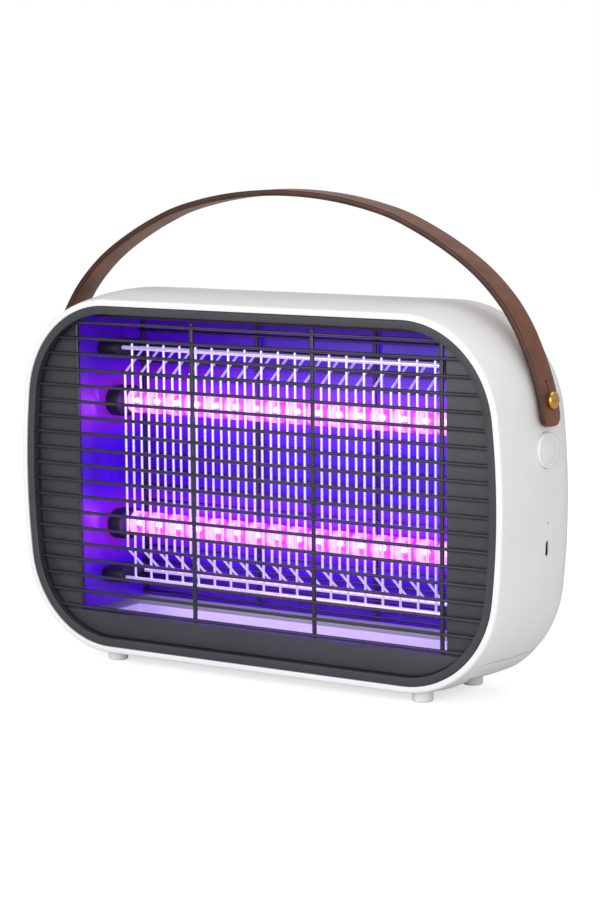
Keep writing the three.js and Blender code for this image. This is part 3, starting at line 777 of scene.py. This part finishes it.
class ZapperTray(bpy.types.Operator):
    """Builds the catch tray and its door, which follows the housing's surface"""
    bl_idname = "zapper.tray"
    bl_label = "Catch tray"

    def execute(self, context):
        door = outer_form("tray_door_moulded")
        window = box("door_window", DOOR_LOW, DOOR_HIGH + Vector((PAST, 0, 0)))
        combine(door, window, "INTERSECT")
        smooth(bevel(door, 0.25 * MM, 2), 32)
        finish(door, "tray_door", "tray", "white_abs", MATERIALS["white"])
        tray = refined("catch_tray", 0.4 * MM)
        finish(tray, "catch_tray", "tray", "white_abs", MATERIALS["white"])
        return {"FINISHED"}


class ZapperRearCover(bpy.types.Operator):
    """Builds the rear cover and its screws"""
    bl_idname = "zapper.rear_cover"
    bl_label = "Rear cover"

    def execute(self, context):
        low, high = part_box("rear_cover")
        cover = plate("rear_cover_moulded", outline(-sizes("housing").cover_inset), low.y, high.y)
        bevel(cover, 0.5 * MM, 3)
        pocket_depth = 3.2 * MM
        head_height = 1.2 * MM
        shank_length = 9.6 * MM
        for number in range(1, 5):
            screw_low, screw_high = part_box(f"cover_screw_{number}")
            x, _, z = middle_of(f"cover_screw_{number}")
            cut(cover, rod("head_pocket", "Y", (x, high.y, z), pocket_depth, 3.4 * MM, 32),
                rod("shank_hole", "Y", (x, high.y, z), 12 * MM, SCREW_HOLE, 24))
            head = rod("head", "Y", (x, screw_high.y - head_height / 2, z), head_height,
                       SCREW_HEAD, 32)
            bevel(head, 0.35 * MM, 3)
            for half_x, half_z in ((0.45 * MM, 1.9 * MM), (1.9 * MM, 0.45 * MM)):
                cut(head, box("recess", (x - half_x, screw_high.y - 0.7 * MM, z - half_z),
                              (x + half_x, screw_high.y + 1 * MM, z + half_z)))
            shank = rod("shank", "Y", (x, screw_low.y + shank_length / 2, z), shank_length,
                        SCREW_SHANK, 24)
            screw = smooth(joined(f"screw_{number}", [head, shank]))
            finish(screw, f"cover_screw_{number}", "housing", "bright_steel", MATERIALS["screw"])
        smooth(cover)
        finish(cover, "rear_cover", "housing", "white_abs", MATERIALS["white"])
        return {"FINISHED"}


class ZapperBezel(bpy.types.Operator):
    """Builds the dark ring, its groove, the side panels and the lower panel"""
    bl_idname = "zapper.bezel"
    bl_label = "Bezel"

    def execute(self, context):
        front = sizes("front")
        ring_front, back = BEZEL_LOW.y, BEZEL_HIGH.y
        panel_front = -40.8 * MM
        lower_front = -42 * MM
        inner = -front.ring_width
        fillet = 0.5 * MM
        profile = [(-GAP, back, False)]
        profile += arc_points((-GAP - fillet, ring_front + fillet), fillet, 0, -90, 4, False)
        profile += arc_points((inner + fillet, ring_front + fillet), fillet, -90, -180, 4, False)
        profile.append((inner, back, False))
        ring = swept("bezel", form_loops(profile))
        panel_edge = inner - front.groove
        panel = bevel(plate("panel", outline(panel_edge), panel_front, back), 0.25 * MM, 2)
        backing = plate("backing", outline(inner + 0.4 * MM), panel_front + 1.5 * MM, back - 0.1 * MM)
        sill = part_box("front_guard")[0].z - GAP
        window_low = (-front.window_half, FRONT_Y, sill)
        window_high = (front.window_half, 0, BEZEL_HIGH.z + PAST)
        cut(panel, box("window", window_low, window_high))
        cut(backing, box("window", window_low, window_high))
        lower = plate("lower_panel", outline(panel_edge), lower_front, back - 0.2 * MM)
        cut(lower, box("above", (-300 * MM, -100 * MM, sill), (300 * MM, 100 * MM, 300 * MM)))
        bevel(lower, 0.35 * MM, 3)
        for part in (panel, backing, lower):
            combine(ring, part, "UNION")
        smooth(ring)
        finish(ring, "front_bezel", "housing", "dark_abs", MATERIALS["dark"])
        return {"FINISHED"}


class ZapperGuards(bpy.types.Operator):
    """Builds the front guard and the rear guard from round wires and flat supports"""
    bl_idname = "zapper.guards"
    bl_label = "Guards"

    def execute(self, context):
        front = sizes("front")
        radius = 1.1 * MM
        top_wire = 221.3 * MM
        support_half = 1.3 * MM
        support_top = 220 * MM
        for node in ("front_guard", "rear_guard"):
            low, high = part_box(node)
            wire_y = low.y + radius
            parts = []
            for i in range(front.guard_wires):
                z = top_wire - i * front.guard_pitch
                half = high.x
                if node == "front_guard":
                    half = half_width_at(z, -front.ring_width - GAP)
                parts.append(wire_rod("wire", "X", (0, wire_y, z), 2 * half, radius))
            for x in (-139 * MM, -46 * MM, 46 * MM, 139 * MM):
                outer = node == "front_guard" and abs(x) > 100 * MM
                support = box("support", (x - support_half, wire_y + 0.3 * MM, low.z),
                              (x + support_half, high.y, support_top if outer else high.z))
                parts.append(bevel(support, 0.4 * MM, 3))
            guard = smooth(joined(node + "_wires", parts), 50)
            finish(guard, node, "housing", "dark_abs", MATERIALS["guard"])
        return {"FINISHED"}


class ZapperGrids(bpy.types.Operator):
    """Builds the straight grid and the bent grid from round wires"""
    bl_idname = "zapper.grids"
    bl_label = "Zapping grids"

    def execute(self, context):
        count = sizes("front").grid_wires
        grid_half = 116.5 * MM
        pitch = 2 * grid_half / (count - 1)
        wire = 0.8 * MM
        bar = 1.3 * MM
        bar_inset = 3 * MM
        low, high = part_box("earth_grid")
        grid_y = (low.y + high.y) / 2
        upright = wire_rod("wire", "Z", (-grid_half, grid_y, (low.z + high.z) / 2),
                           high.z - low.z, wire, 12)
        parts = [repeated(upright, count, pitch)]
        for z in (low.z + bar_inset, high.z - bar_inset):
            parts.append(wire_rod("bar", "X", (0, grid_y, z), high.x - low.x, bar))
        grid = smooth(joined("straight_grid", parts), 50)
        finish(grid, "earth_grid", "housing", "bright_steel", MATERIALS["steel"])

        low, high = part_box("live_grid")
        front_y = low.y + wire
        back_y = high.y - bar
        bar_low, bar_high = low.z + bar, high.z - bar
        knee_low, knee_high = 70 * MM, 186.4 * MM
        first_x = -grid_half - 6.2 * MM
        bend = [(1.2 * MM, -1 * MM), (0.25 * MM, 0.3 * MM), (0.0, 1.6 * MM)]
        route = [(first_x, back_y, bar_low)]
        route += [(first_x, front_y + back, knee_low + up) for back, up in bend]
        route += [(first_x, front_y + back, knee_high - up) for back, up in reversed(bend)]
        route.append((first_x, back_y, bar_high))
        parts = [repeated(bent_rod("wire", route, wire), count, pitch)]
        for z in (bar_low, bar_high):
            parts.append(wire_rod("bar", "X", (0, back_y, z), high.x - low.x, bar))
        grid = smooth(joined("bent_grid", parts), 50)
        finish(grid, "live_grid", "housing", "bright_steel", MATERIALS["steel"])
        refine_all(corners("grid_insulator", LEVELS), "black_nylon", "black", 0.6 * MM)
        return {"FINISHED"}


class ZapperTubes(bpy.types.Operator):
    """Builds the LED tubes, their boards and their sockets"""
    bl_idname = "zapper.tubes"
    bl_label = "LED tubes"

    def execute(self, context):
        chip_half_x, chip_half_z = 1.75 * MM, 1.4 * MM
        for level in LEVELS:
            low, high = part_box("led_tube_" + level)
            middle = middle_of("led_tube_" + level)
            radius = (high.z - low.z) / 2
            tube = rod("acrylic_tube_" + level, "X", middle, high.x - low.x, radius, 64, "NOTHING")
            modify(tube, "SOLIDIFY", thickness=1.5 * MM, offset=-1)
            smooth(outward(tube))
            finish(tube, "led_tube_" + level, "housing", "clear_tube", MATERIALS["tube"])
            board_low, board_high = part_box("led_board_" + level)
            strip = bevel(box("strip", (board_low.x, middle.y + 1.2 * MM, board_low.z),
                              (board_high.x, board_high.y, board_high.z)), 0.2 * MM, 2)
            strip.data.materials.append(MATERIALS["strip"])
            chip = box("chip", (-chip_half_x, board_low.y, middle.z - chip_half_z),
                       (chip_half_x, middle.y + 1.25 * MM, middle.z + chip_half_z))
            bevel(chip, 0.5 * MM, 3)
            chip.data.materials.append(MATERIALS["chip"])
            chip.data.transform(Matrix.Translation((-(LED_COUNT - 1) / 2 * LED_PITCH, 0, 0)))
            repeated(chip, LED_COUNT, LED_PITCH)
            strip = smooth(joined("led_strip_" + level, [strip, chip]))
            finish(strip, "led_board_" + level, "housing", "led_strip")
            # The black sockets also cover the dark patch on the end walls by each tube, which is
            # partly soft shadow: partly a real black part, partly painted shade.
            refine_all(corners("tube_socket", (level,)), "black_nylon", "black", 0.8 * MM)
        return {"FINISHED"}


class ZapperChamber(bpy.types.Operator):
    """Finishes the reflector, the end walls, the ceiling and the tray's runners"""
    bl_idname = "zapper.chamber"
    bl_label = "Chamber"

    def execute(self, context):
        # The reflector and both end walls get painted violet light and a painted glow near the tubes.
        refine_all(("reflector_panel", "left_partition", "right_partition"), "violet_panel",
                   "reflector", 0.2 * MM)
        refine_all(("chamber_ceiling",), "dark_abs", "black", 0.2 * MM)
        refine_all(("tray_runner_front", "tray_runner_rear"), "black_nylon", "black")
        return {"FINISHED"}


class ZapperControls(bpy.types.Operator):
    """Builds the power button, the light pipe and the charging socket"""
    bl_idname = "zapper.controls"
    bl_label = "Controls"

    def execute(self, context):
        low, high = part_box("power_button")
        _, y, z = middle_of("power_button")
        flange = (high.z - low.z) / 2
        radius = flange - 1.6 * MM
        face = high.x
        fillet = 0.7 * MM
        profile = [(low.x, 0), (low.x, flange / 2), (low.x, flange), (low.x + 1.3 * MM, flange),
                   (low.x + 1.3 * MM, radius), (face - 3 * MM, radius)]
        profile += [(x, r) for r, x in arc_points((radius - fillet, face - 0.1 * MM - fillet),
                                                  fillet, 0, 90, 5)]
        ring_radius = 8.6 * MM
        profile += [(face - 0.1 * MM, ring_radius + 0.3 * MM), (face - 0.3 * MM, ring_radius),
                    (face - 0.1 * MM, ring_radius - 0.3 * MM), (face - 0.05 * MM, 5 * MM),
                    (face, 2.5 * MM), (face, 0)]
        button = turned("button_cap", profile, y, z, 1, 96)
        deselect()
        bpy.ops.mesh.primitive_torus_add(major_radius=3.4 * MM, minor_radius=0.3 * MM,
                                         major_segments=64, minor_segments=8,
                                         location=(face, y, z), rotation=(0, math.pi / 2, 0))
        symbol = settle(bpy.context.object, "symbol")
        cut(symbol, box("break", (face - 1 * MM, y - 1.3 * MM, z),
                        (face + 1 * MM, y + 1.3 * MM, z + 5 * MM)))
        cut(button, symbol, box("stroke", (face - 0.25 * MM, y - 0.3 * MM, z + 1 * MM),
                                (face + 1 * MM, y + 0.3 * MM, z + 4.2 * MM)))
        smooth(button)
        finish(button, "power_button", "button", "white_abs", MATERIALS["white"])
        refine_all(("light_pipe",), "clear_tube", "lens", 0.1 * MM)
        refine_all(("charging_socket",), "bright_steel", "socket", 0.08 * MM)
        return {"FINISHED"}


STRAP_LINE = ((0, 307), (40, 304.2), (77, 296.4), (102, 286.6), (126, 273.8), (145, 260.6),
              (161.2, 244.8), (172.5, 228.8), (181.2, 210.8), (186.8, 195.6), (190.2, 181.8),
              (191.8, 169.5))


def strap_route(steps):
    """The strap's outer line and its inward normals, smooth through the points of its line."""
    right = [Vector((x, 0, z)) * MM for x, z in STRAP_LINE]
    points = [Vector((-p.x, 0, p.z)) for p in reversed(right[1:])] + right
    fine = []
    last = len(points) - 1
    for i in range(last):
        p0, p1, p2, p3 = (points[max(0, min(last, i + k))] for k in (-1, 0, 1, 2))
        for j in range(12):
            t = j / 12
            fine.append(0.5 * ((2 * p1) + (p2 - p0) * t + (2 * p0 - 5 * p1 + 4 * p2 - p3) * t ** 2
                               + (3 * p1 - p0 - 3 * p2 + p3) * t ** 3))
    fine.append(points[-1])
    lengths = [0.0]
    for a, b in zip(fine, fine[1:]):
        lengths.append(lengths[-1] + (b - a).length)
    total = lengths[-1]
    end = 7 * MM
    close = [end * (1 - math.cos(math.pi / 2 * i / 8)) for i in range(9)]
    middle = [end + (total - 2 * end) * i / steps for i in range(1, steps)]
    stations = close + middle + [total - s for s in reversed(close)]
    route = []
    at = 0
    for s in stations:
        while at < len(lengths) - 2 and lengths[at + 1] < s:
            at += 1
        share = (s - lengths[at]) / (lengths[at + 1] - lengths[at])
        spot = fine[at].lerp(fine[at + 1], share)
        before, after = fine[max(0, at - 1)], fine[min(len(fine) - 1, at + 2)]
        along = (after - before).normalized()
        route.append((spot, Vector((along.z, 0, -along.x)), min(s, total - s)))
    return route


class ZapperStrap(bpy.types.Operator):
    """Builds the leather strap with softly rounded, burnished edges and keyhole slits"""
    bl_idname = "zapper.strap"
    bl_label = "Carry strap"

    def execute(self, context):
        strap_sizes = sizes("strap")
        thick = strap_sizes.thickness
        corner = strap_sizes.end_corner
        middle_y = (STRAP_LOW.y + STRAP_HIGH.y) / 2
        soft = 1.1 * MM
        route = strap_route(150)
        loops = []
        for spot, inward, from_end in route:
            half = strap_sizes.width / 2
            if from_end < corner:
                half += math.sqrt(corner ** 2 - (corner - from_end) ** 2) - corner
            flat = half - soft
            section = []
            for side, start in ((1, 90), (1, 0), (-1, -90), (-1, -180)):
                depth_side = -1 if start in (90, -180) else 1
                centre_depth = thick / 2 + depth_side * (thick / 2 - soft)
                for k in range(5):
                    turn = math.radians(start - 90 * k / 4)
                    section.append((side * flat + soft * math.cos(turn),
                                    centre_depth - soft * math.sin(turn)))
            row = []
            for across, depth in section:
                point = spot + inward * depth
                row.append((point.x, middle_y + across, point.z))
            loops.append(row)
        strap = lofted("leather_strap", loops)
        strap.data.materials.append(MATERIALS["leather"])
        strap.data.materials.append(MATERIALS["edge"])
        edge_y = strap_sizes.width / 2 - soft * 0.75
        for face in strap.data.polygons:
            if abs(face.center.y - middle_y) > edge_y or abs(face.normal.y) > 0.6:
                face.material_index = 1
        stud_z = middle_of("strap_stud_right").z
        slit_top = stud_z + 11 * MM
        slit_half = 0.5 * MM
        through = 24 * MM
        for side in (-1, 1):
            x = side * SIDE_X
            cut(strap, rod("stud_hole", "X", (x, middle_y, stud_z), through, STUD_HOLE, 32),
                box("slit", (x - through / 2, middle_y - slit_half, stud_z),
                    (x + through / 2, middle_y + slit_half, slit_top)),
                rod("slit_end", "X", (x, middle_y, slit_top), through, 1 * MM, 24))
        smooth(strap, 40)
        finish(strap, "carry_strap", "handle", "leather")
        return {"FINISHED"}


class ZapperStuds(bpy.types.Operator):
    """Builds the slotted brass studs and their spacers"""
    bl_idname = "zapper.studs"
    bl_label = "Strap studs"

    def execute(self, context):
        slot_depth, slot_half = 1.1 * MM, 0.6 * MM
        for name, side in (("left", -1), ("right", 1)):
            low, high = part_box("strap_stud_" + name)
            _, y, z = middle_of("strap_stud_" + name)
            start, end = min(abs(low.x), abs(high.x)), max(abs(low.x), abs(high.x))
            radius = (high.z - low.z) / 2
            seat = end - 2.9 * MM
            edge = 0.35 * MM
            profile = [(start, 0), (start, 1 * MM), (start, 2 * MM), (seat, 2 * MM),
                       (seat, radius - edge)]
            profile += [(seat + edge + x, r) for r, x in arc_points((radius - edge, 0), edge,
                                                                     -90, 20, 4)]
            dome_start = seat + 1.1 * MM
            for i in range(1, 9):
                turn = math.pi / 2 * i / 8
                profile.append((dome_start + (end - dome_start) * math.sin(turn),
                                (radius - 0.05 * MM) * math.cos(turn)))
            profile[-1] = (end, 0)
            stud = turned("brass_stud_" + name, profile, y, z, side, 64)
            slot_x = side * end
            cut(stud, box("slot", (slot_x - slot_depth, y - 8 * MM, z - slot_half),
                          (slot_x + slot_depth, y + 8 * MM, z + slot_half)))
            smooth(stud)
            finish(stud, "strap_stud_" + name, "housing", "brass", MATERIALS["brass"])
            refine_all(("stud_spacer_" + name,), "brass", "brass", 0.15 * MM)
            coat("stud_nut_" + name, MATERIALS["brass"])
        return {"FINISHED"}


class ZapperFeet(bpy.types.Operator):
    """Builds the four soft feet"""
    bl_idname = "zapper.feet"
    bl_label = "Feet"

    def execute(self, context):
        refine_all(corners("foot", ("front", "rear")), "soft_rubber", "rubber", 0.35 * MM, 40)
        return {"FINISHED"}


class ZapperElectronics(bpy.types.Operator):
    """Finishes the board, the switch, the voltage module and the cells inside"""
    bl_idname = "zapper.electronics"
    bl_label = "Electronics"

    def execute(self, context):
        refine_all(("main_board",), "circuit_board", "board")
        refine_all(("push_switch", "voltage_module", "battery_holder"), "black_nylon", "black")
        refine_all(("battery_cell_front", "battery_cell_rear"), "cell_wrap", "wrap")
        return {"FINISHED"}


def area_light(name, place, target, size, power, colour="#ffffff"):
    """A soft box that points at a target."""
    light = bpy.data.lights.new(name, "AREA")
    light.shape = "RECTANGLE"
    light.size, light.size_y = size
    light.energy = power
    light.color = to_linear(colour)[:3]
    obj = bpy.data.objects.new(name, light)
    obj.location = place
    obj.rotation_euler = (Vector(target) - Vector(place)).to_track_quat("-Z", "Y").to_euler()
    bpy.context.scene.collection.objects.link(obj)


class ZapperStage(bpy.types.Operator):
    """Sets the floor, the studio lights and the camera"""
    bl_idname = "zapper.stage"
    bl_label = "Stage"

    def execute(self, context):
        deselect()
        bpy.ops.mesh.primitive_plane_add(size=12, location=(0, 0, 0))
        floor = bpy.context.object
        floor.name = "floor"
        material, tree, shader, place = new_material("pale_paper_sweep")
        tone = mottle(tree, place, 0.5)
        lifted = add_node(tree, "LightPath").outputs["Is Camera Ray"]
        set_shader(tree, shader, Base_Color=blend_colours(tree, tone, "#dadada", "#dedede"),
                   Emission_Strength=spread(tree, lifted, 0.0, 0.62), Roughness=0.9,
                   Emission_Color=(1, 1, 1, 1))
        floor.data.materials.append(material)
        world = bpy.data.worlds.new("studio")
        world.use_nodes = True
        sky = world.node_tree
        background = sky.nodes["Background"]
        background.inputs["Color"].default_value = (1, 1, 1, 1)
        seen = add_node(sky, "LightPath").outputs["Is Camera Ray"]
        sky.links.new(spread(sky, seen, 0.54, 1.0), background.inputs["Strength"])
        context.scene.world = world
        context.scene.view_settings.view_transform = "Standard"
        middle = (0, 0, 0.12)
        area_light("key", (-0.6, -1.9, 0.8), middle, (1.4, 1.2), 12)
        area_light("side", (1.8, -1.3, 0.5), middle, (0.6, 1.2), 6)
        area_light("fill", (0.9, -2.0, 0.6), middle, (0.8, 1.2), 13)
        area_light("top", (0.2, 0.3, 1.9), middle, (1.6, 1.0), 7)
        for level in LEVELS:
            low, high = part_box("led_tube_" + level)
            _, y, z = middle_of("led_tube_" + level)
            strip = (250 * MM, 12 * MM)
            off = 3 * MM
            area_light("glow_back_" + level, (0, high.y + off, z), (0, 0.2, z), strip, 0.12,
                       "#7a1cff")
            area_light("glow_front_" + level, (0, low.y - off, z), (0, -0.2, z), strip, 0.1,
                       "#a040ff")
            area_light("glow_down_" + level, (0, y, low.z - off), (0, 0, 0), strip, 0.05,
                       "#5a1cff")
        data = bpy.data.cameras.new("camera")
        data.lens = 111.76
        data.sensor_width = 36
        camera = bpy.data.objects.new("camera", data)
        yaw, pitch, roll = math.radians(35), math.radians(7.42), math.radians(-0.54)
        forward = Vector((-math.sin(yaw) * math.cos(pitch), math.cos(yaw) * math.cos(pitch),
                          -math.sin(pitch)))
        right = Vector((math.cos(yaw), math.sin(yaw), 0))
        up = right.cross(forward)
        turned_right = right * math.cos(roll) + up * math.sin(roll)
        turned_up = up * math.cos(roll) - right * math.sin(roll)
        axes = Matrix((turned_right, turned_up, -forward)).transposed()
        camera.matrix_world = Matrix.Translation((1.0118, -1.4349, 0.3709)) @ axes.to_4x4()
        context.scene.collection.objects.link(camera)
        context.scene.camera = camera
        return {"FINISHED"}


OPERATORS = (ZapperHousing, ZapperTray, ZapperRearCover, ZapperBezel, ZapperGuards, ZapperGrids,
             ZapperTubes, ZapperChamber, ZapperControls, ZapperStrap, ZapperStuds, ZapperFeet,
             ZapperElectronics, ZapperStage)


class ZapperPanel(bpy.types.Panel):
    """Lists the bug zapper's steps"""
    bl_idname = "VIEW3D_PT_zapper"
    bl_label = "Bug Zapper"
    bl_space_type = "VIEW_3D"
    bl_region_type = "UI"
    bl_category = "Bug Zapper"

    def draw(self, context):
        for operator in OPERATORS:
            self.layout.operator(operator.bl_idname)


GROUPS = {"housing": ZapperHousingSizes, "front": ZapperFrontSizes, "strap": ZapperStrapSizes,
          "colours": ZapperColours}
CLASSES = (*GROUPS.values(), *OPERATORS, ZapperPanel)


def register():
    for cls in CLASSES:
        bpy.utils.register_class(cls)
    for name, group in GROUPS.items():
        setattr(bpy.types.Scene, "zapper_" + name, PointerProperty(type=group))


def unregister():
    for name in GROUPS:
        delattr(bpy.types.Scene, "zapper_" + name)
    for cls in reversed(CLASSES):
        bpy.utils.unregister_class(cls)


def main():
    register()
    for operator in OPERATORS:
        group, name = operator.bl_idname.split(".")
        getattr(getattr(bpy.ops, group), name)()


if __name__ == "__main__":
    main()
